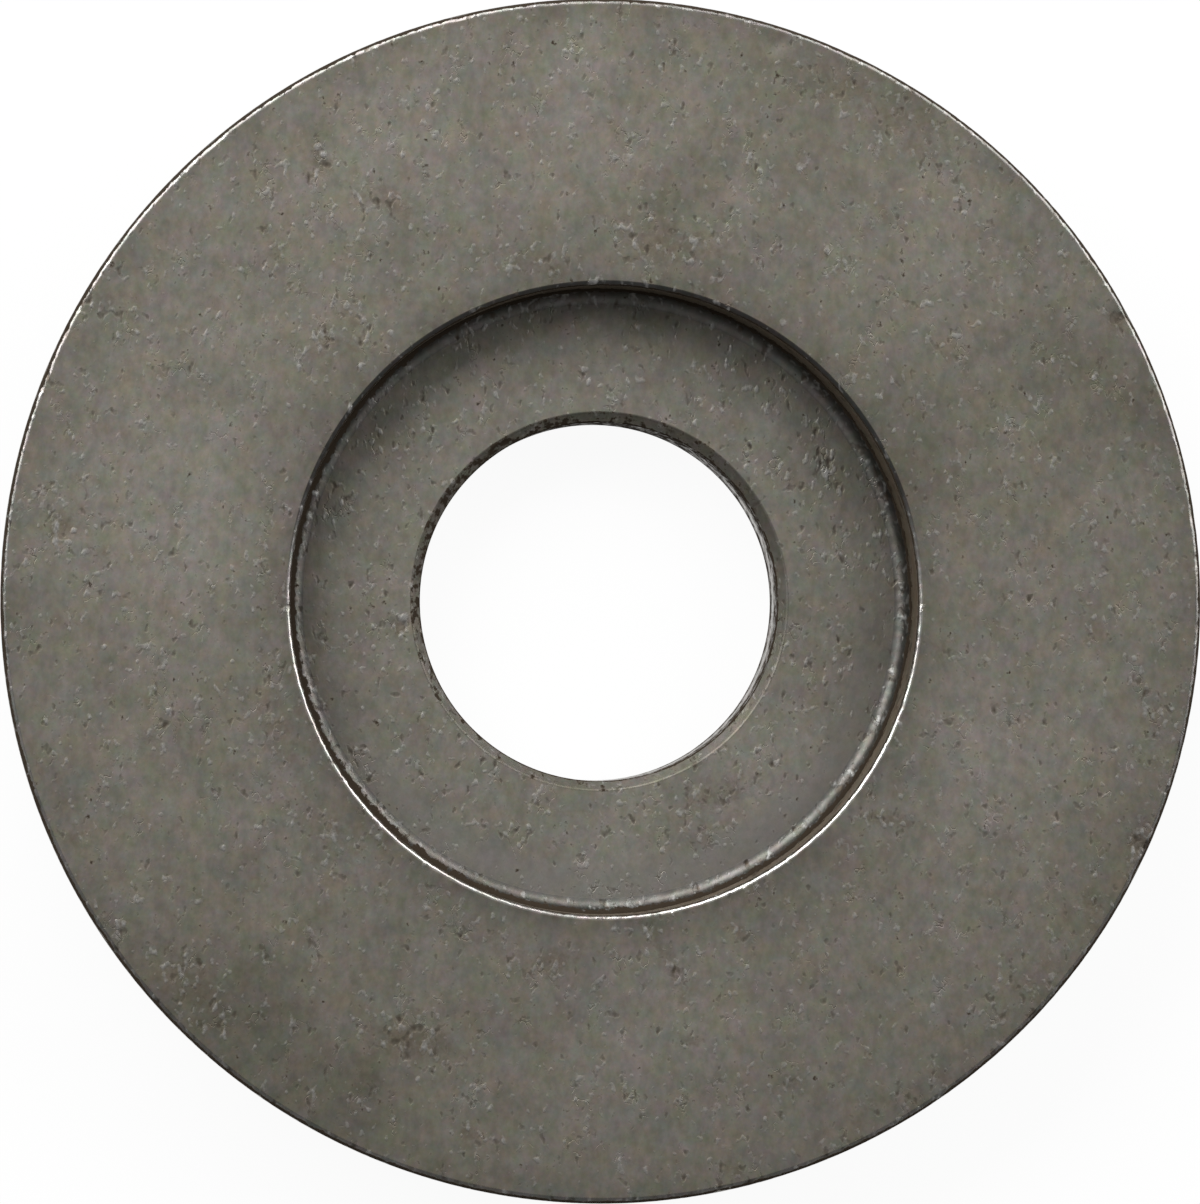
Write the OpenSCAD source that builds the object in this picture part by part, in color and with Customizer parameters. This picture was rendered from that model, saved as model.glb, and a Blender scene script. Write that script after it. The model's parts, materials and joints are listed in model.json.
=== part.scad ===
// Stop washer for the piston rod of a shock absorber.
// One turned steel disc: a bore for the rod's spigot, and a recess in the upper face for its shoulder.
// The axis is Z, and the lower face lies at Z = 0.

/* [Plate] */
// Outside diameter of the washer
outer_d = 40; // [32:0.5:48]
// Thickness over the two faces
thickness = 5; // [3.6:0.1:8]

/* [Recess] */
// Diameter of the recess in the upper face
recess_d = 20.9; // [16:0.1:28]
// Depth of the recess below the upper face
recess_depth = 2.2; // [1.2:0.1:3.6]
// Radius between the recess wall and its floor
recess_fillet = 0.5; // [0.1:0.05:1]

/* [Bore] */
// Diameter of the rod's spigot
spigot_d = 12; // [8:0.5:16]
// How much wider than the spigot the bore is
spigot_clearance = 0.04; // [0.02:0.02:0.4]
// Chamfer at both ends of the bore
bore_chamfer = 0.3; // [0.05:0.05:0.6]

/* [Edges] */
// Radius on the outer edge of each face
rim_round = 0.2; // [0.05:0.05:0.6]
// Radius on the lip of the recess
lip_round = 0.15; // [0.05:0.05:0.4]

/* [Hidden] */
$fn = 180;

// Grey of the tumbled steel
steel_grey = [0.44, 0.43, 0.39];
// How far a cutting shape passes the face that it cuts
reach = 1;

bore_r = (spigot_d + spigot_clearance) / 2;
outer_r = outer_d / 2;
recess_r = recess_d / 2;
floor_z = thickness - recess_depth;

// What is cut off to round a corner at the origin, with the material at negative x and y
module round_cut(radius) {
    translate([-radius, -radius])
        difference() {
            square(radius + reach);
            circle(radius);
        }
}

// What is cut off to bevel a square corner at the origin, whichever way the corner faces
module bevel_cut(width) {
    polygon([[-width, 0], [0, -width], [width, 0], [0, width]]);
}

// Half section of the hollow in the upper face, with its rounded foot
module recess_section() {
    difference() {
        translate([0, floor_z])
            square([recess_r, recess_depth + reach]);
        translate([recess_r, floor_z])
            mirror([0, 1])
                round_cut(recess_fillet);
    }
}

// Half section of the washer, in radius and height
module washer_section() {
    difference() {
        translate([bore_r, 0])
            square([outer_r - bore_r, thickness]);
        recess_section();
        translate([outer_r, thickness])
            round_cut(rim_round);
        translate([outer_r, 0])
            mirror([0, 1])
                round_cut(rim_round);
        translate([recess_r, thickness])
            mirror([1, 0])
                round_cut(lip_round);
        for (bore_end = [0, floor_z])
            translate([bore_r, bore_end])
                bevel_cut(bore_chamfer);
    }
}

module stop_washer() {
    color(steel_grey)
        rotate_extrude()
            washer_section();
}

stop_washer();
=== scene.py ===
import json
import math
import bpy
import numpy as np
from mathutils import Matrix, Vector, noise


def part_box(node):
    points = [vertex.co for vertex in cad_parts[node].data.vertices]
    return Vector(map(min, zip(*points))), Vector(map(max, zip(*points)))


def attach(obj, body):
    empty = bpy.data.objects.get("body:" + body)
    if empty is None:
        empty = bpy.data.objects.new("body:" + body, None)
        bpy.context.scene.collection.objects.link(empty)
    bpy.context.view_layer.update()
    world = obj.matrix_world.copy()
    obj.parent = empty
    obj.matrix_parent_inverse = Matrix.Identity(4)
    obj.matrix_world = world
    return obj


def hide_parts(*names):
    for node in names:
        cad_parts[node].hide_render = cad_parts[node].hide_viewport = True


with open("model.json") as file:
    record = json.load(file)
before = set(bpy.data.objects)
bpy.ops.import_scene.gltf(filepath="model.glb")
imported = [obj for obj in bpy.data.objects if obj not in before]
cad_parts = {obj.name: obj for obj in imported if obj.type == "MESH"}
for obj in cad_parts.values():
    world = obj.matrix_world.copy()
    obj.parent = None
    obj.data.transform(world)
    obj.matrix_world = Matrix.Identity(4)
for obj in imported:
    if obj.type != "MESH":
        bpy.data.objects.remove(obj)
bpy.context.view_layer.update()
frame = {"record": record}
mm = 0.001
print("frame loaded")

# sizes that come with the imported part
mounts = {mount["name"]: mount for mount in frame["record"]["mounts"]}
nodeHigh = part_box("stop_washer")[1]
outerRadius = nodeHigh.x
thickness = nodeHigh.z
boreRadius = mounts["rod_bore"]["dims"]["r_mm"] * mm
recessRadius = mounts["shoulder_recess"]["dims"]["r_mm"] * mm
floorHeight = mounts["recess_floor"]["pos_m"][2]

washer = {
    "rimRound": 0.20 * mm,
    "lipRound": 0.15 * mm,
    "recessFillet": 0.50 * mm,
    "boreChamfer": 0.30 * mm,
    "softCorner": 0.09 * mm,     # the ends of a chamfer are never quite sharp
    "turns": 740,                # steps round the axis
    "fineStep": 0.24 * mm,       # spacing of the rings on the upper face and the recess floor
    "wallStep": 0.45 * mm,
    "plainStep": 1.20 * mm,      # spacing on the lower face and the outer wall
    "guard": 0.03 * mm,          # a ring this close to each corner keeps the flat beside it flat
    "footRough": 0.011 * mm,     # unevenness of the fillet at the foot of the recess
    "edgeRough": 0.010 * mm,     # unevenness of the lip and the rim
    "roughSize": 0.24 * mm,      # size of the unevenness on the fillet and the lip
    "rimRoughSize": 0.40 * mm,
    "roughOctaves": (0.6, 2.1, 3),
}

wear = {
    # grime and painted shade: how much darker, and how far that reaches
    "lipGrime": (0.30, 0.9 * mm),
    "rimGrime": (0.16, 1.0 * mm),
    # painted shade on the recess floor beside its foot, left off on the side towards -Y
    "footShade": (0.22, 0.8 * mm),
    # painted shade on the steep part of the fillet in the recess corner
    "filletShade": 0.55,
    "filletSlope": (0.96, 0.82),
    # painted shade on the soft corners at the ends of the chamfers
    "edgeShade": 0.35,
    # the bore chamfer is darker all round
    "chamferDarkening": 0.22,
    "lipShade": 0.8,              # painted shade on the side of the lip towards +Y, which faces away from the lamps
    "lipShadeTurn": (0.0, 0.35),
    "lowerTurn": 0.2,            # radians from -Y to the middle of the lower side, where the burnished band with its painted reflected light lies
    "burnishAndSheenWidth": 1.3 * mm,    # band of the recess floor beside the foot, rubbed smooth and painted paler with reflected light
    "burnishAndSheen": 0.5,
    "burnishAndSheenFall": 4,
    "stainFall": 0.7,
    "stainDepth": 0.5 * mm,      # stains go no further below the recess floor than this
    "waverSize": 2.2 * mm,       # the edges of the paler and darker areas waver
    "waverReach": 0.9 * mm,
}

soilAndShading = {
    # pairs are where soil and painted shade start and where they cover all, most of them slopes: 1 faces up
    # and 0 sideways
    "rimUpper": (0.97, 0.78),
    "rimLower": (0.12, 0.35),
    "lip": (0.85, 0.55),
    "foot": 0.67,                # where soil and painted shade start on the fillet, and how that changes round the axis
    "footAcross": -0.17,
    "footLowerSide": 0.20,
    "footFarSide": 0.15,
    "footSpan": 0.26,
    "wallFilm": 0.1,
    "wallReach": 0.10 * mm,      # how far soil and painted shade reach up the recess wall
    "boreReach": 1.4 * mm,       # how far soil and painted shade reach down the bore
    "boreEnd": (0.7 * mm, 0.4 * mm),
    "boreLeast": 0.4,            # share of the soil and painted shade that is left on the side of the bore towards -X
    "boreTurn": (-0.1, 0.5),
    "boreBack": (0.45, 0.9),     # the side of the bore towards +Y, which faces away from the lamps, is painted shade all over
    "lowerEnd": 0.1,
    "chamferFoot": 0.8,
    "chamfer": 0.30,
    "chamferSway": 0.20,
    "chamferBearing": 140,       # degrees from +X to the side of the chamfer with the most painted shade, which faces away from the key lamp
}

# small dents in the upper face and the recess floor: x, y, radius and depth in mm
dents = [
    (5.7, 18.5, 0.42, 0.06), (17.3, 9.4, 0.40, 0.05), (17.8, -8.1, 0.50, 0.03),
    (16.2, -10.1, 0.40, 0.03), (-6.7, -0.8, 0.35, 0.03), (-9.6, 14.3, 0.40, 0.02),
    (-17.9, 2.4, 0.40, 0.02),
]

# nicks knocked into the rim: bearing in degrees, width and depth in mm
rimNicks = [
    (28.5, 0.5, 0.05), (333, 0.7, 0.03), (214, 0.6, 0.03), (158, 0.4, 0.03), (104, 0.4, 0.03),
    (66, 0.4, 0.02), (281, 0.5, 0.03), (8, 0.4, 0.02), (131, 0.5, 0.02),
]

# brown and dark stains: x, y, length, width in mm, bearing of the length in degrees, strength
stains = [
    (2.2, 11.9, 4.0, 1.3, -10, 0.50), (-2.3, 11.1, 2.4, 0.9, -15, 0.45),
    (-7.2, 13.2, 2.2, 0.9, -20, 0.55), (-9.5, 14.5, 0.9, 0.7, -40, 0.65),
    (-9.0, 8.7, 2.6, 1.6, 45, 0.40), (-11.0, 11.4, 1.6, 0.7, 75, 0.40),
    (-16.3, 9.7, 2.0, 0.8, -20, 0.45), (-18.0, 2.4, 1.0, 0.9, 0, 0.70),
    (-16.8, 1.5, 0.8, 0.6, -20, 0.60), (-18.4, 3.7, 0.5, 0.4, 0, 0.70),
    (-15.0, -4.6, 0.6, 0.5, 0, 0.60), (-17.5, -7.8, 0.8, 0.6, 0, 0.45),
    (-10.8, -4.5, 3.2, 1.2, 108, 0.45), (-11.2, -5.9, 0.6, 0.5, 0, 0.50),
    (-9.0, -7.6, 3.2, 1.5, 135, 0.35), (-14.0, -12.5, 3.0, 1.4, 135, 0.50),
    (-6.5, -14.6, 2.6, 1.1, -15, 0.75), (-4.5, -17.6, 0.6, 0.5, 0, 0.65),
    (-1.7, -12.0, 1.7, 0.9, 20, 0.55), (-4.0, -11.0, 2.6, 1.0, -20, 0.40),
    (2.2, -12.2, 3.4, 0.5, -65, 0.50), (4.5, -11.1, 0.5, 0.4, 0, 0.60),
    (6.3, -16.0, 0.8, 0.6, 0, 0.50), (9.5, -7.3, 1.6, 0.5, -10, 0.65),
    (16.2, -10.1, 0.7, 0.6, 0, 0.65), (17.8, -8.1, 1.0, 0.8, 60, 0.75),
    (17.2, 9.4, 0.8, 0.6, -60, 0.95), (11.2, -1.8, 0.9, 0.7, 90, 0.45),
    (10.6, 3.6, 1.1, 0.6, 70, 0.55), (8.0, 11.2, 0.8, 0.6, 0, 0.45),
    (10.5, 15.5, 4.0, 1.6, -40, 0.40), (7.8, 17.3, 3.0, 1.3, -25, 0.40),
    (2.8, -14.6, 0.5, 0.4, 0, 0.75), (8.8, -16.8, 0.9, 0.7, 30, 0.45),
    (4.3, -18.8, 0.8, 0.6, 0, 0.45), (4.2, -6.4, 2.4, 0.9, 25, 0.55),
    (8.2, -1.6, 0.8, 0.6, 90, 0.45), (-6.7, -0.9, 0.8, 0.5, 90, 0.80),
    (7.7, 4.7, 1.8, 0.8, -60, 0.45), (-15.5, -15.0, 2.5, 1.2, 135, 0.45),
    (18.4, -4.0, 3.0, 0.9, 95, 0.40), (14.0, -12.8, 3.0, 1.4, 50, 0.35),
]

# broad paler and darker areas, listed one by one as the stains are: x, y and radius in mm, and how much
# paler
# the paler areas on the recess floor at (6, -6) and (0, -8) are painted light where the lamps reach the
# floor past the wall; the rest are the steel's own mottling
mottlesAndFloorLight = [
    (-13, -13, 3, -0.20), (-9, -16, 3, -0.20), (16, 7, 3, -0.20), (10, 6, 3, -0.12),
    (7, 17, 3, -0.12), (2, 12, 2, -0.12), (17, -8, 2, -0.12), (-14, 3, 3, 0.20), (13, -5, 3, 0.20),
    (6, -6, 2, 0.20), (-7, 15, 2, 0.12), (-1, 16, 2, 0.12), (1, -14, 3, 0.12), (0, -8, 2, 0.12),
]


def roundedCorner(before, corner, after, radius, steps):
    # points of the arc that joins two straight stretches
    toBefore = (before - corner) / np.linalg.norm(before - corner)
    toAfter = (after - corner) / np.linalg.norm(after - corner)
    half = math.acos(np.clip(toBefore @ toAfter, -1, 1)) / 2
    middle = (toBefore + toAfter) / np.linalg.norm(toBefore + toAfter)
    centre = corner + middle * radius / math.sin(half)
    first = corner + toBefore * radius / math.tan(half) - centre
    last = corner + toAfter * radius / math.tan(half) - centre
    start = math.atan2(first[1], first[0])
    sweep = math.atan2(last[1], last[0]) - start
    sweep = (sweep + math.pi) % (2 * math.pi) - math.pi
    turn = start + sweep * np.linspace(0, 1, steps + 1)
    return centre + radius * np.stack([np.cos(turn), np.sin(turn)], 1)


def washerOutline():
    # half section, corner by corner: radius, height, round, steps of the arc, zone of the arc,
    # then the zone of the straight stretch after it and the spacing there
    w = washer
    chamfer, soft = w["boreChamfer"], w["softCorner"]
    fine, wall, plain = w["fineStep"], w["wallStep"], w["plainStep"]
    corners = [
        (boreRadius + chamfer, 0, soft, 2, "edge", "underside", plain),
        (outerRadius, 0, w["rimRound"], 4, "rim", "outerWall", plain),
        (outerRadius, thickness, w["rimRound"], 7, "rim", "upperFace", fine),
        (recessRadius, thickness, w["lipRound"], 6, "lip", "recessWall", wall),
        (recessRadius, floorHeight, w["recessFillet"], 9, "foot", "floor", fine),
        (boreRadius + chamfer, floorHeight, soft, 2, "edge", "chamfer", wall),
        (boreRadius, floorHeight - chamfer, soft, 2, "edge", "bore", wall),
        (boreRadius, chamfer, soft, 2, "edge", "chamfer", wall),
    ]
    places = [np.array(corner[:2]) for corner in corners]
    arcs = []
    for i, (_, _, radius, steps, *_) in enumerate(corners):
        arcs.append(roundedCorner(places[i - 1], places[i], places[(i + 1) % len(places)], radius, steps))
    points, zones = [], []
    for i, (*_, arcZone, nextZone, step) in enumerate(corners):
        points.extend(arcs[i])
        zones.extend([arcZone] * (len(arcs[i]) - 1) + [nextZone])
        start, end = arcs[i][-1], arcs[(i + 1) % len(arcs)][0]
        length = float(np.linalg.norm(end - start))
        guard = w["guard"] / length
        count = max(1, round((1 - 2 * guard) * length / step))
        for share in np.linspace(guard, 1 - guard, count + 1):
            points.append(start + (end - start) * share)
            zones.append(nextZone)
    return np.array(points), zones


def outlineNormals(points):
    along = np.roll(points, -1, 0) - np.roll(points, 1, 0)
    along /= np.linalg.norm(along, axis=1)[:, None]
    return np.stack([along[:, 1], -along[:, 0]], 1)


def roughness(place, size, amount):
    return noise.fractal(place / size, *washer["roughOctaves"]) * amount


def ramp(value, low, high):
    return min(1.0, max(0.0, (value - low) / (high - low)))


def nickDepth(angle, radius):
    depth = 0
    for bearing, width, deep in rimNicks:
        away = (angle - math.radians(bearing) + math.pi) % (2 * math.pi) - math.pi
        depth += deep * mm * math.exp(-(away * radius / (0.5 * width * mm)) ** 2)
    return depth


def dentDepth(x, y):
    depth = 0
    for dentX, dentY, radius, deep in dents:
        away = math.hypot(x - dentX * mm, y - dentY * mm) / (radius * mm)
        if away < 1:
            depth += deep * mm * (1 - away * away) ** 2
    return depth


def stainAt(x, y):
    total = 0
    for stainX, stainY, length, width, bearing, strength in stains:
        dx, dy = x / mm - stainX, y / mm - stainY
        c, s = math.cos(math.radians(bearing)), math.sin(math.radians(bearing))
        away = math.hypot((dx * c + dy * s) / (0.5 * length), (dy * c - dx * s) / (0.5 * width))
        total = max(total, strength * math.exp(-wear["stainFall"] * away * away))
    return total


def mottleAndFloorLightAt(place):
    # the paler areas on the recess floor towards -Y are painted light
    waver = noise.noise_vector(place / wear["waverSize"]) * wear["waverReach"]
    x, y = (place.x + waver.x) / mm, (place.y + waver.y) / mm
    total = 0
    for mottleX, mottleY, radius, paler in mottlesAndFloorLight:
        total += paler * math.exp(-((x - mottleX) ** 2 + (y - mottleY) ** 2) / radius ** 2)
    return total


def lowerSide(angle):
    # 1 on the side towards -Y, fading out to either hand
    return max(0.0, -math.sin(angle - wear["lowerTurn"]))


def grimeAndShadeAt(zone, radius, upward, angle):
    # grime darkens the face beside the lip and the rim; painted shade darkens the recess floor beside its
    # foot, the lip towards +Y, the steep fillet and the soft corners, and the chamfer is darker
    if zone == "upperFace":
        most, reach = wear["lipGrime"]
        atLip = most * math.exp((recessRadius + washer["lipRound"] - radius) / reach)
        most, reach = wear["rimGrime"]
        atRim = most * math.exp((radius + washer["rimRound"] - outerRadius) / reach)
        return atLip + atRim
    # painted shade on the recess floor beside its foot
    if zone == "floor":
        most, reach = wear["footShade"]
        inward = recessRadius - washer["recessFillet"] - radius
        return most * math.exp(-inward / reach) * (1 - lowerSide(angle))
    # painted shade on the lip's side towards +Y
    if zone == "lip":
        return wear["lipShade"] * ramp(math.sin(angle), *wear["lipShadeTurn"])
    # painted shade on the steep part of the fillet in the recess corner
    if zone == "foot":
        return wear["filletShade"] * ramp(upward, *wear["filletSlope"])
    # painted shade on the soft corners at the ends of the chamfers
    if zone == "edge":
        return wear["edgeShade"]
    # the bore chamfer is darker all round
    if zone == "chamfer":
        return wear["chamferDarkening"]
    return 0


def soilAndShadeAt(zone, height, upward, angle):
    # dark soil and painted shade on the steep sides of the rim, the lip and the foot, in the recess corner
    # and round the bore; on the rim, the lip, the bore and the chamfer it is painted shade, in the recess
    # corner soil and painted shade
    s, chamfer = soilAndShading, washer["boreChamfer"]
    # painted shade on the steeper outer part of the rim
    if zone == "rim":
        return ramp(abs(upward), *s["rimUpper"]) * ramp(abs(upward), *s["rimLower"])
    # painted shade on the lip's steep side, towards the recess wall
    if zone == "lip":
        return ramp(upward, *s["lip"])
    # soil and painted shade on the fillet's steep part, stronger on the sides towards -X and -Y
    if zone == "foot":
        steep = s["foot"] + s["footAcross"] * math.cos(angle) + s["footLowerSide"] * lowerSide(angle)
        steep += s["footFarSide"] * max(0.0, -math.cos(angle)) ** 2
        return ramp(upward, steep, steep - s["footSpan"])
    # soil and painted shade at the foot of the recess wall, and a thin film above
    if zone == "recessWall":
        climb = (height - floorHeight - washer["recessFillet"]) / s["wallReach"]
        return max(s["wallFilm"], 1 - climb)
    # soil and painted shade in the bore near both ends, and painted shade all over its side towards +Y
    if zone == "bore":
        atTop = ramp(floorHeight - chamfer - height, s["boreReach"], 0.5 * s["boreReach"])
        atEnd = ramp(height - chamfer, *s["boreEnd"])
        side = s["boreLeast"] + (1 - s["boreLeast"]) * ramp(math.cos(angle), *s["boreTurn"])
        return max(max(atTop, atEnd) * side, ramp(math.sin(angle), *s["boreBack"]))
    if zone not in ("chamfer", "edge"):
        return 0
    # painted shade on the chamfers: a dark line where the upper one meets the bore, and most on the side
    # away from the key lamp
    if height < 0.5 * floorHeight:
        return s["lowerEnd"]
    if zone == "edge" and height < floorHeight - 0.5 * chamfer:
        return s["chamferFoot"]
    return s["chamfer"] + s["chamferSway"] * math.cos(angle - math.radians(s["chamferBearing"]))


def burnishAndSheenAt(zone, radius, angle):
    # a band beside the foot, rubbed smooth and painted paler and cooler as reflected light from the lit
    # wall, plainest on the side towards -Y
    if zone != "floor":
        return 0
    inward = (recessRadius - washer["recessFillet"] - radius) / wear["burnishAndSheenWidth"]
    return wear["burnishAndSheen"] * lowerSide(angle) * max(0.0, 1 - inward ** wear["burnishAndSheenFall"])


def newMesh(name, points, faces):
    mesh = bpy.data.meshes.new(name)
    mesh.from_pydata(points, [], faces)
    mesh.update()
    piece = bpy.data.objects.new(name, mesh)
    bpy.context.scene.collection.objects.link(piece)
    return piece


def turnWasher():
    outline, zones = washerOutline()
    normals = outlineNormals(outline)
    turns, rings = washer["turns"], len(outline)
    points = []
    painted = {"stain": [], "pale": [], "grimeAndShade": [], "soilAndShade": [], "burnishAndSheen": []}
    for (radius, height), (outward, upward), zone in zip(outline, normals, zones):
        upper = height > floorHeight - wear["stainDepth"]
        for j in range(turns):
            angle = 2 * math.pi * j / turns
            c, s = math.cos(angle), math.sin(angle)
            place = Vector((radius * c, radius * s, height))
            sink = 0
            if zone == "foot":
                sink = roughness(place, washer["roughSize"], washer["footRough"])
            elif zone == "lip":
                sink = roughness(place, washer["roughSize"], washer["edgeRough"])
            elif zone == "rim":
                sink = abs(roughness(place, washer["rimRoughSize"], washer["edgeRough"]))
                sink += nickDepth(angle, radius)
            elif zone in ("upperFace", "floor"):
                sink = dentDepth(place.x, place.y)
            inset = radius - sink * outward
            points.append((inset * c, inset * s, height - sink * upward))
            painted["stain"].append(stainAt(place.x, place.y) if upper else 0)
            painted["pale"].append(mottleAndFloorLightAt(place) if zone in ("upperFace", "floor") else 0)
            painted["grimeAndShade"].append(grimeAndShadeAt(zone, radius, upward, angle))
            painted["soilAndShade"].append(soilAndShadeAt(zone, height, upward, angle))
            painted["burnishAndSheen"].append(burnishAndSheenAt(zone, radius, angle))
    faces, faceZones = [], []
    for i in range(rings):
        here, there = i * turns, (i + 1) % rings * turns
        for j in range(turns):
            k = (j + 1) % turns
            faces.append((here + j, here + k, there + k, there + j))
            faceZones.append(zones[i])
    piece = newMesh("stopWasher", points, faces)
    for label, values in painted.items():
        piece.data.attributes.new(label, "FLOAT", "POINT").data.foreach_set("value", values)
    return piece, faceZones


washerPiece, faceZones = turnWasher()
print("washer turned:", len(washerPiece.data.polygons) * 2, "triangles")


def addNode(tree, kind, place, **values):
    node = tree.nodes.new(kind)
    node.location = place
    for key, value in values.items():
        if key in node.inputs:
            node.inputs[key].default_value = value
        else:
            setattr(node, key, value)
    return node


def newGroup(name, inputs, outputs):
    group = bpy.data.node_groups.new(name, "ShaderNodeTree")
    for label, kind in inputs:
        group.interface.new_socket(label, in_out="INPUT", socket_type=kind)
    for label, kind in outputs:
        group.interface.new_socket(label, in_out="OUTPUT", socket_type=kind)
    source = addNode(group, "NodeGroupInput", (-1100, 0))
    target = addNode(group, "NodeGroupOutput", (900, 0))
    return group, source, target


def feed(tree, socket, value):
    if isinstance(value, bpy.types.NodeSocket):
        tree.links.new(value, socket)
    else:
        socket.default_value = (*value, 1) if isinstance(value, tuple) and socket.type == "RGBA" else value


def mathNode(tree, place, operation, first, second):
    node = addNode(tree, "ShaderNodeMath", place, operation=operation)
    feed(tree, node.inputs[0], first)
    feed(tree, node.inputs[1], second)
    return node.outputs[0]


def rangeNode(tree, place, value, low, high, newLow=0.0, newHigh=1.0):
    node = addNode(tree, "ShaderNodeMapRange", place)
    for label, number in (("From Min", low), ("From Max", high), ("To Min", newLow), ("To Max", newHigh)):
        node.inputs[label].default_value = number
    feed(tree, node.inputs["Value"], value)
    return node.outputs[0]


def noiseNode(tree, place, vector, scale, shift, detail, rough=0.55):
    move = addNode(tree, "ShaderNodeVectorMath", (place[0] - 200, place[1]), operation="ADD")
    move.inputs[1].default_value = (shift, 1.7 * shift, 0.6 * shift)
    feed(tree, move.inputs[0], vector)
    node = addNode(tree, "ShaderNodeTexNoise", place, Detail=detail, Roughness=rough)
    feed(tree, node.inputs["Vector"], move.outputs[0])
    feed(tree, node.inputs["Scale"], scale)
    return node.outputs[0]


def mixColour(tree, place, blend, factor, first, second):
    node = addNode(tree, "ShaderNodeMix", place, data_type="RGBA", blend_type=blend)
    feed(tree, node.inputs[0], factor)
    feed(tree, node.inputs[6], first)
    feed(tree, node.inputs[7], second)
    return node.outputs[2]


cloudLooks = {
    # scale per mm, shift, detail and roughness of the noise, and the noise that gives 0 and 1
    "Shade": (0.40, 0.0, 6, 0.66, 0.25, 0.75),
    "Warmth": (1.3, 17.0, 4, 0.85, 0.36, 0.64),
    "Blush": (1.4, 23.0, 4, 0.85, 0.36, 0.64),
    "Fray": (4.0, 31.0, 3, 0.70, 0.30, 0.70),
}


def cloudGroup():
    # patches of lighter, warmer and redder steel, and a noise that frays edges
    outputs = [(label, "NodeSocketFloat") for label in cloudLooks]
    group, source, target = newGroup("steelClouds", [("Place", "NodeSocketVector")], outputs)
    where = source.outputs["Place"]
    for row, (label, (*look, low, high)) in enumerate(cloudLooks.items()):
        cloud = noiseNode(group, (-500, 400 - 300 * row), where, *look)
        group.links.new(rangeNode(group, (-100, 400 - 300 * row), cloud, low, high), target.inputs[label])
    return group


grainNoises = {
    # scale per mm, shift, detail and roughness
    "fine": (2.7, 3.0, 2, 0.6),
    "crowding": (0.9, 29.0, 3, 0.6),
    "pits": (2.7, 41.0, 1.5, 0.5),
    "rubsAndGlints": (3.6, 67.0, 1.5, 0.5),
    "hairs": (1.7, 83.0, 2, 0.55),
}
grainRanges = {
    # the noise that gives 0 and 1, or the two values that follow
    "fine": (0.30, 0.70),
    "crowding": (0.30, 0.70, -0.08, 0.08),
    "pits": (0.65, 0.84),
    "rubsAndGlints": (0.645, 0.86),
    "hairs": (0.0, 0.016, 0.6, 0.0),
    "hairPlaces": (0.56, 0.66),
}
grainStretch = (1.25, 0.80, 1.0)
fineRelief = 0.20                # height of the fine grain beside that of a pit or rub


def grainGroup():
    # dark pits and bright rubs that crowd together in places, hair-thin nicks, and their relief; the rubs'
    # paler colour is also painted glints
    labels = ("Grain", "Pits", "RubsAndGlints", "Relief")
    group, source, target = newGroup(
        "tumbledGrain", [("Place", "NodeSocketVector"), ("Crowd", "NodeSocketFloat")],
        [(label, "NodeSocketFloat") for label in labels])
    stretch = addNode(group, "ShaderNodeVectorMath", (-900, 0), operation="MULTIPLY")
    stretch.inputs[1].default_value = grainStretch
    group.links.new(source.outputs["Place"], stretch.inputs[0])

    def grainNoise(label, row):
        return noiseNode(group, (-500, row), stretch.outputs[0], *grainNoises[label])

    def grainRange(label, place, value):
        return rangeNode(group, place, value, *grainRanges[label])

    fine = grainRange("fine", (-300, 500), grainNoise("fine", 500))
    crowding = grainNoise("crowding", 200)
    closer = grainRange("crowding", (-300, 200), crowding)
    closer = mathNode(group, (-100, 200), "ADD", closer, source.outputs["Crowd"])
    pits = mathNode(group, (100, -100), "ADD", grainNoise("pits", -100), closer)
    pits = grainRange("pits", (300, -100), pits)
    rubsAndGlints = mathNode(group, (100, -400), "ADD", grainNoise("rubsAndGlints", -400), closer)
    rubsAndGlints = grainRange("rubsAndGlints", (300, -400), rubsAndGlints)
    line = mathNode(group, (-300, -700), "SUBTRACT", grainNoise("hairs", -700), 0.5)
    line = mathNode(group, (-200, -700), "ABSOLUTE", line, 0)
    hairPlaces = grainRange("hairPlaces", (-100, -900), crowding)
    hair = mathNode(group, (100, -700), "MULTIPLY", grainRange("hairs", (-100, -700), line), hairPlaces)
    dark = mathNode(group, (500, -300), "MAXIMUM", pits, hair)
    raised = mathNode(group, (300, 300), "MULTIPLY_ADD", fine, fineRelief)
    group.links.new(rubsAndGlints, raised.node.inputs[2])
    relief = mathNode(group, (600, 200), "SUBTRACT", raised, dark)
    for label, value in zip(labels, (fine, dark, rubsAndGlints, relief)):
        group.links.new(value, target.inputs[label])
    return group


lathe = {
    "squeeze": (0.12, 0.12, 9.0),    # drawn out round the axis, close together along it
    "noise": (1.0, 11.0, 3, 0.6),
}


def latheGroup():
    # fine lines round the axis, left by the turning tool
    group, source, target = newGroup(
        "latheLines", [("Place", "NodeSocketVector")], [("Lines", "NodeSocketFloat")])
    squeeze = addNode(group, "ShaderNodeVectorMath", (-700, 0), operation="MULTIPLY")
    squeeze.inputs[1].default_value = lathe["squeeze"]
    group.links.new(source.outputs["Place"], squeeze.inputs[0])
    lines = noiseNode(group, (0, 0), squeeze.outputs[0], *lathe["noise"])
    group.links.new(lines, target.inputs["Lines"])
    return group


steelClouds = cloudGroup()
tumbledGrain = grainGroup()
latheLines = latheGroup()
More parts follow.
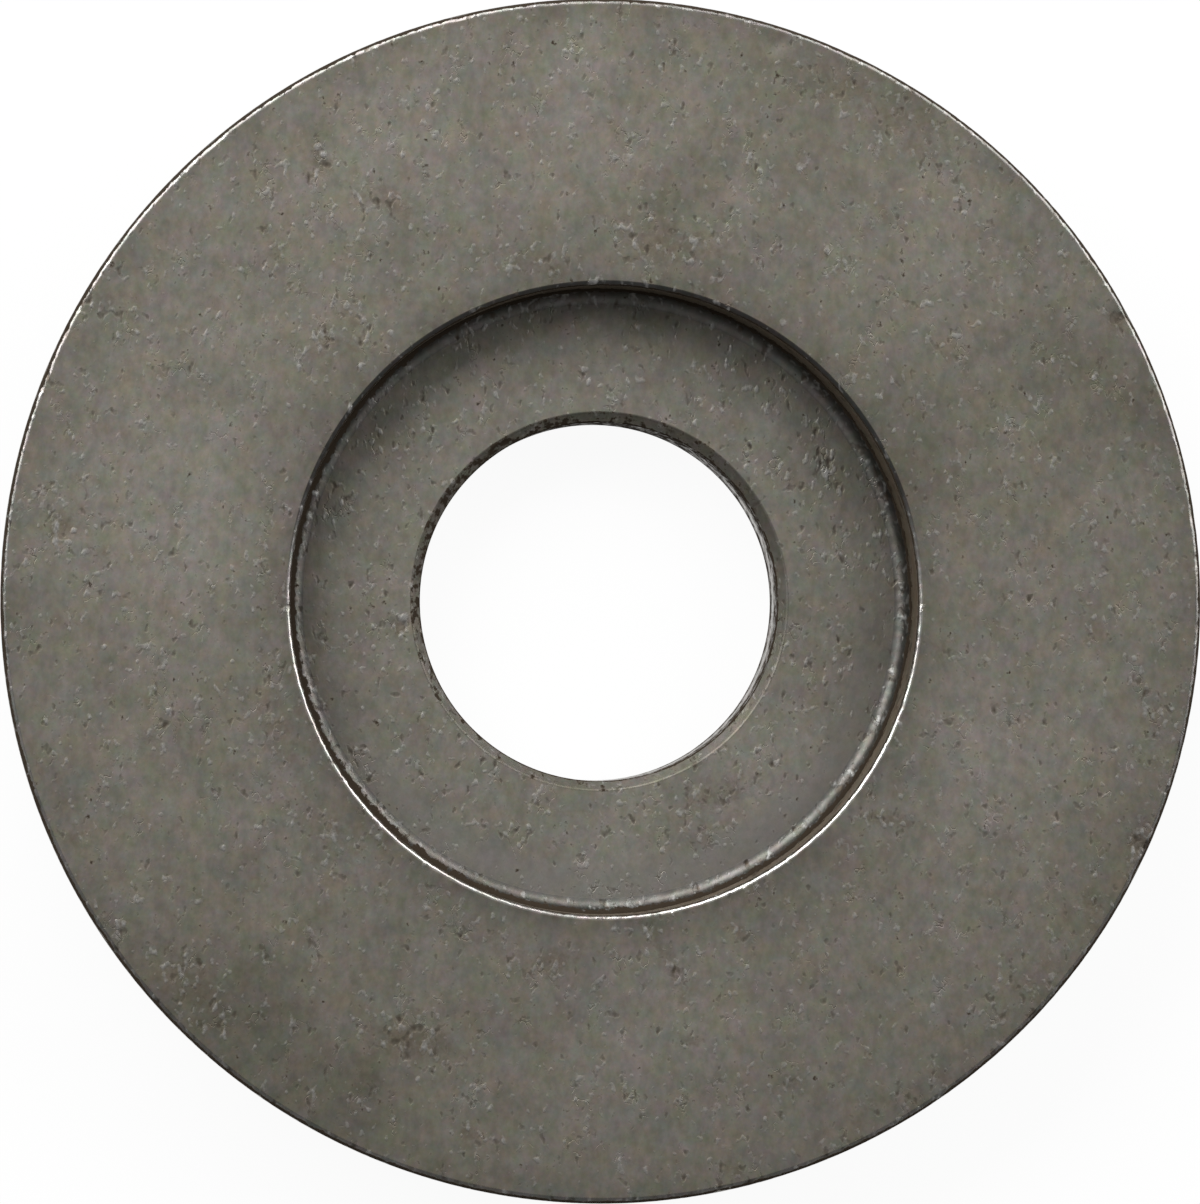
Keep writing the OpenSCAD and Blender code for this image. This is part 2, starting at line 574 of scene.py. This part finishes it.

# steel finishes by zone: cool and warm colour, rubbed colour with its painted glints, pitted colour,
# roughness, depth of the grain in mm, how closely the pits and rubs crowd, and depth of the turning lines in
# mm
steelLooks = {
    "tumbledFace": {
        "zones": ["upperFace", "underside"],
        "cool": (0.222, 0.207, 0.192), "warm": (0.223, 0.207, 0.155), "rubAndGlint": (0.300, 0.294, 0.282),
        "pit": (0.100, 0.084, 0.066), "roughness": 0.56, "grain": 0.014, "crowd": 0.0, "lines": 0,
    },
    "recessFloor": {
        "zones": ["floor", "chamfer", "edge"],
        "cool": (0.238, 0.224, 0.208), "warm": (0.239, 0.224, 0.170), "rubAndGlint": (0.340, 0.334, 0.320),
        "pit": (0.090, 0.075, 0.060), "roughness": 0.54, "grain": 0.015, "crowd": 0.02, "lines": 0,
    },
    "wornLip": {
        "zones": ["lip"],
        "cool": (0.54, 0.53, 0.52), "warm": (0.50, 0.47, 0.42), "rubAndGlint": (0.72, 0.71, 0.69),
        "pit": (0.090, 0.076, 0.062), "roughness": 0.30, "grain": 0.014, "crowd": 0.03, "lines": 0,
    },
    "wornRim": {
        "zones": ["rim"],
        "cool": (0.28, 0.272, 0.264), "warm": (0.26, 0.245, 0.215), "rubAndGlint": (0.54, 0.53, 0.51),
        "pit": (0.090, 0.076, 0.062), "roughness": 0.36, "grain": 0.014, "crowd": 0.07, "lines": 0,
    },
    "recessFoot": {
        "zones": ["foot"],
        "cool": (0.190, 0.186, 0.179), "warm": (0.182, 0.170, 0.143), "rubAndGlint": (0.31, 0.31, 0.30),
        "pit": (0.070, 0.056, 0.043), "roughness": 0.46, "grain": 0.015, "crowd": 0.06, "lines": 0,
    },
    "darkWall": {
        "zones": ["recessWall"],
        "cool": (0.200, 0.172, 0.138), "warm": (0.210, 0.160, 0.108), "rubAndGlint": (0.30, 0.26, 0.20),
        "pit": (0.030, 0.020, 0.013), "roughness": 0.55, "grain": 0.014, "crowd": 0.04, "lines": 0.010,
    },
    "turnedWall": {
        "zones": ["outerWall"],
        "cool": (0.205, 0.197, 0.186), "warm": (0.215, 0.196, 0.150), "rubAndGlint": (0.30, 0.292, 0.28),
        "pit": (0.105, 0.090, 0.072), "roughness": 0.50, "grain": 0.014, "crowd": 0.0, "lines": 0.020,
    },
    "brightBore": {
        "zones": ["bore"],
        "cool": (0.34, 0.33, 0.32), "warm": (0.32, 0.29, 0.25), "rubAndGlint": (0.50, 0.49, 0.47),
        "pit": (0.070, 0.056, 0.044), "roughness": 0.30, "grain": 0.010, "crowd": 0.0, "lines": 0.012,
        "soilAndShadeEdge": (0.15, 1.00),
    },
}
finish = {
    "blushGreen": (0.91, 1.01, 0.965),
    "blushRed": (1.09, 0.99, 1.035),
    "stainBrown": (0.125, 0.098, 0.072),
    "soilAndShadeBrown": (0.036, 0.027, 0.019),
    "burnishAndSheenGrey": (0.240, 0.233, 0.226),
    "shade": (0.76, 1.24),           # darkest and lightest cloud
    "speckle": (0.87, 1.13),         # darkest and lightest fine grain
    "stainCrowd": 0.16,              # pits and rubs crowd this much more in a stain
    "burnishClear": 0.12,            # and this much less on what is burnished
    "stainFray": 0.6,
    "stainEdge": (0.20, 1.00),
    "stainMost": 0.72,
    "soilAndShadeFray": 0.7,
    "soilAndShadeEdge": (0.40, 0.65),        # soil and painted shade start to show and cover all, unless a look has its own
    "soilAndShadeMost": 0.98,
    "roughSway": 0.04,
}


def steelMaterial(name, look):
    material = bpy.data.materials.new(name)
    material.use_nodes = True
    tree = material.node_tree
    shader = tree.nodes["Principled BSDF"]
    shader.inputs["Specular IOR Level"].default_value = 0.0
    where = addNode(tree, "ShaderNodeTexCoord", (-2500, 0))
    inMm = addNode(tree, "ShaderNodeVectorMath", (-2300, 0), operation="SCALE", Scale=1 / mm)
    tree.links.new(where.outputs["Object"], inMm.inputs[0])
    painted = {}
    for row, label in enumerate(("stain", "pale", "grimeAndShade", "soilAndShade", "burnishAndSheen")):
        node = addNode(tree, "ShaderNodeAttribute", (-2300, 1000 - 150 * row), attribute_name=label)
        painted[label] = node.outputs["Fac"]
    clouds = addNode(tree, "ShaderNodeGroup", (-1900, 200), node_tree=steelClouds)
    grain = addNode(tree, "ShaderNodeGroup", (-1900, -200), node_tree=tumbledGrain)
    for user in (clouds, grain):
        tree.links.new(inMm.outputs[0], user.inputs["Place"])
    # pits and rubs crowd into the stains and keep off what is burnished
    crowdMost = look["crowd"] + finish["stainCrowd"]
    crowd = rangeNode(tree, (-2100, -100), painted["stain"], 0, 1, look["crowd"], crowdMost)
    thinned = rangeNode(tree, (-2100, -300), painted["burnishAndSheen"], 0, 1, 0.0, finish["burnishClear"])
    tree.links.new(mathNode(tree, (-2000, -200), "SUBTRACT", crowd, thinned), grain.inputs["Crowd"])
    # warm and cool, red and green patches, lighter and darker clouds, fine grain, grime along the edges, and
    # painted shade in the recess and on the lip
    warmth = mathNode(tree, (-1750, 300), "SUBTRACT", clouds.outputs["Warmth"], painted["pale"])
    colour = mixColour(tree, (-1600, 300), "MIX", warmth, look["cool"], look["warm"])
    blush = clouds.outputs["Blush"]
    blush = mixColour(tree, (-1600, 100), "MIX", blush, finish["blushGreen"], finish["blushRed"])
    shade = rangeNode(tree, (-1750, -100), clouds.outputs["Shade"], 0, 1, *finish["shade"])
    shade = mathNode(tree, (-1600, -100), "ADD", shade, painted["pale"])
    speckle = rangeNode(tree, (-1600, -500), grain.outputs["Grain"], 0, 1, *finish["speckle"])
    unshadedShare = mathNode(tree, (-1600, -300), "SUBTRACT", 1.0, painted["grimeAndShade"])
    for column, factor in enumerate((blush, shade, speckle, unshadedShare)):
        colour = mixColour(tree, (-1450 + 130 * column, 300), "MULTIPLY", 1.0, colour, factor)
    # painted reflected light: the burnished band beside the foot is paler and cooler grey
    colour = mixColour(tree, (-900, 300), "MIX", painted["burnishAndSheen"], colour, finish["burnishAndSheenGrey"])
    # stains, and soil with painted shade, follow what is painted on, with frayed edges
    fray = mathNode(tree, (-1400, 700), "SUBTRACT", clouds.outputs["Fray"], 0.5)
    spread = mathNode(tree, (-1200, 700), "MULTIPLY_ADD", fray, finish["stainFray"])
    tree.links.new(painted["stain"], spread.node.inputs[2])
    stained = rangeNode(tree, (-1000, 700), spread, *finish["stainEdge"], 0.0, finish["stainMost"])
    colour = mixColour(tree, (-700, 300), "MIX", stained, colour, finish["stainBrown"])
    # painted glints: the rubbed spots take a paler colour
    colour = mixColour(tree, (-550, 300), "MIX", grain.outputs["RubsAndGlints"], colour, look["rubAndGlint"])
    colour = mixColour(tree, (-400, 300), "MIX", grain.outputs["Pits"], colour, look["pit"])
    # soil and painted shade, a near-black brown with ragged edges
    ragged = mathNode(tree, (-1000, 500), "SUBTRACT", grain.outputs["Grain"], clouds.outputs["Fray"])
    creep = mathNode(tree, (-800, 500), "MULTIPLY_ADD", ragged, finish["soilAndShadeFray"])
    tree.links.new(painted["soilAndShade"], creep.node.inputs[2])
    soilAndShadeEdge = look.get("soilAndShadeEdge", finish["soilAndShadeEdge"])
    soilAndShadeCover = rangeNode(tree, (-600, 500), creep, *soilAndShadeEdge, 0.0, finish["soilAndShadeMost"])
    colour = mixColour(tree, (-250, 300), "MIX", soilAndShadeCover, colour, finish["soilAndShadeBrown"])
    # soil and painted shade are not metallic, so they stay dark
    tree.links.new(mathNode(tree, (-250, 100), "SUBTRACT", 1.0, soilAndShadeCover), shader.inputs["Metallic"])
    tree.links.new(colour, shader.inputs["Base Color"])
    dullest, brightest = look["roughness"] + finish["roughSway"], look["roughness"] - finish["roughSway"]
    rough = rangeNode(tree, (-500, -100), clouds.outputs["Shade"], 0, 1, dullest, brightest)
    tree.links.new(rough, shader.inputs["Roughness"])
    bump = addNode(tree, "ShaderNodeBump", (-200, -300), Strength=1.0, Distance=look["grain"] * mm)
    tree.links.new(grain.outputs["Relief"], bump.inputs["Height"])
    if look["lines"]:
        turning = addNode(tree, "ShaderNodeGroup", (-700, -500), node_tree=latheLines)
        tree.links.new(inMm.outputs[0], turning.inputs["Place"])
        turned = addNode(tree, "ShaderNodeBump", (-400, -500), Strength=1.0, Distance=look["lines"] * mm)
        tree.links.new(turning.outputs["Lines"], turned.inputs["Height"])
        tree.links.new(turned.outputs[0], bump.inputs["Normal"])
    tree.links.new(bump.outputs[0], shader.inputs["Normal"])
    return material


zoneSlot = {}
for number, (name, look) in enumerate(steelLooks.items()):
    washerPiece.data.materials.append(steelMaterial(name, look))
    for zone in look["zones"]:
        zoneSlot[zone] = number
washerPiece.data.polygons.foreach_set("material_index", [zoneSlot[zone] for zone in faceZones])
washerPiece.data.polygons.foreach_set("use_smooth", [True] * len(faceZones))
washerPiece.data.update()
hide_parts("stop_washer")
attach(washerPiece, "root")
print("steel finishes set:", ", ".join(steelLooks))

stage = {
    "floorReach": 1.5,           # half width of the floor, in metres
    "floorDrop": 0.00005,        # metres, so that it and the lower face never coincide
    "floorColour": (0.90, 0.90, 0.90),
    "whiteShare": 0.94,          # how much of the floor's look is plain white, the rest is lit and shadowed
    "worldColour": (1.0, 1.0, 1.0),
    "worldLight": 0.20,
}


def whiteFloor():
    reach = stage["floorReach"]
    drop = -stage["floorDrop"]
    corners = [(x * reach, y * reach, drop) for x, y in ((-1, -1), (1, -1), (1, 1), (-1, 1))]
    floor = newMesh("paleFloor", corners, [(0, 1, 2, 3)])
    material = bpy.data.materials.new("palePaper")
    material.use_nodes = True
    tree = material.node_tree
    tree.nodes.remove(tree.nodes["Principled BSDF"])
    paper = addNode(tree, "ShaderNodeBsdfDiffuse", (-200, 100), Color=(*stage["floorColour"], 1))
    white = addNode(tree, "ShaderNodeEmission", (-200, -100), Strength=1.0)
    path = addNode(tree, "ShaderNodeLightPath", (-900, 0))
    seen = path.outputs["Is Camera Ray"]
    seen = mathNode(tree, (-700, 100), "MAXIMUM", seen, path.outputs["Is Glossy Ray"])
    seen = mathNode(tree, (-550, 100), "MAXIMUM", seen, path.outputs["Is Transmission Ray"])
    share = mathNode(tree, (-400, 100), "MULTIPLY", seen, stage["whiteShare"])
    mix = addNode(tree, "ShaderNodeMixShader", (0, 0))
    for socket, value in zip(mix.inputs, (share, paper.outputs[0], white.outputs[0])):
        tree.links.new(value, socket)
    # the paper is clear from below, so that the lower face can be looked at
    geometry = addNode(tree, "ShaderNodeNewGeometry", (0, 250))
    clear = addNode(tree, "ShaderNodeBsdfTransparent", (0, -150))
    onePly = addNode(tree, "ShaderNodeMixShader", (200, 0))
    sides = (geometry.outputs["Backfacing"], mix.outputs[0], clear.outputs[0])
    for socket, value in zip(onePly.inputs, sides):
        tree.links.new(value, socket)
    tree.links.new(onePly.outputs[0], tree.nodes["Material Output"].inputs["Surface"])
    floor.data.materials.append(material)


def softWorld():
    world = bpy.data.worlds.new("softRoom")
    bpy.context.scene.world = world
    world.use_nodes = True
    background = world.node_tree.nodes["Background"]
    background.inputs["Color"].default_value = (*stage["worldColour"], 1)
    background.inputs["Strength"].default_value = stage["worldLight"]


lamps = {
    # bearing from +X and height above the floor in degrees, distance, width and depth of the panel, watts
    "keyPanel": {"bearing": 126, "height": 41, "distance": 0.45, "width": 0.50, "depth": 0.28, "power": 2.6},
    "sidePanel": {"bearing": 34, "height": 34, "distance": 0.45, "width": 0.46, "depth": 0.26, "power": 1.3},
}


def panelLamp(name, lamp):
    light = bpy.data.lights.new(name, "AREA")
    light.shape = "RECTANGLE"
    light.size = lamp["width"]
    light.size_y = lamp["depth"]
    light.energy = lamp["power"]
    holder = bpy.data.objects.new(name, light)
    bearing, height = math.radians(lamp["bearing"]), math.radians(lamp["height"])
    level = math.cos(height)
    way = Vector((math.cos(bearing) * level, math.sin(bearing) * level, math.sin(height)))
    holder.location = way * lamp["distance"]
    holder.rotation_euler = way.to_track_quat("Z", "Y").to_euler()
    bpy.context.scene.collection.objects.link(holder)


shot = {
    # the photograph is 1200 by 1204 pixels; place and aim are in mm from the middle of the upper face
    "place": (-19.6, -4.0, 211.0),
    "aim": (-0.199, -0.065, 0.0),
    "focalPixels": 6392,
    "imagePixels": (1200, 1204),
}


def aimCamera():
    data = bpy.data.cameras.new("photoCamera")
    data.sensor_width = 36
    data.lens = shot["focalPixels"] / max(shot["imagePixels"]) * data.sensor_width
    data.clip_start = 0.01
    camera = bpy.data.objects.new("photoCamera", data)
    top = Vector((0, 0, thickness))
    place = Vector(shot["place"]) * mm + top
    ahead = (Vector(shot["aim"]) * mm + top - place).normalized()
    right = ahead.cross(Vector((0, 1, 0))).normalized()
    up = right.cross(ahead)
    turn = Matrix((right, up, -ahead)).transposed().to_4x4()
    camera.matrix_world = Matrix.Translation(place) @ turn
    bpy.context.scene.collection.objects.link(camera)
    bpy.context.scene.camera = camera


whiteFloor()
softWorld()
for name, lamp in lamps.items():
    panelLamp(name, lamp)
aimCamera()
bpy.context.scene.view_settings.view_transform = "Standard"
print("stage, lamps and camera set")
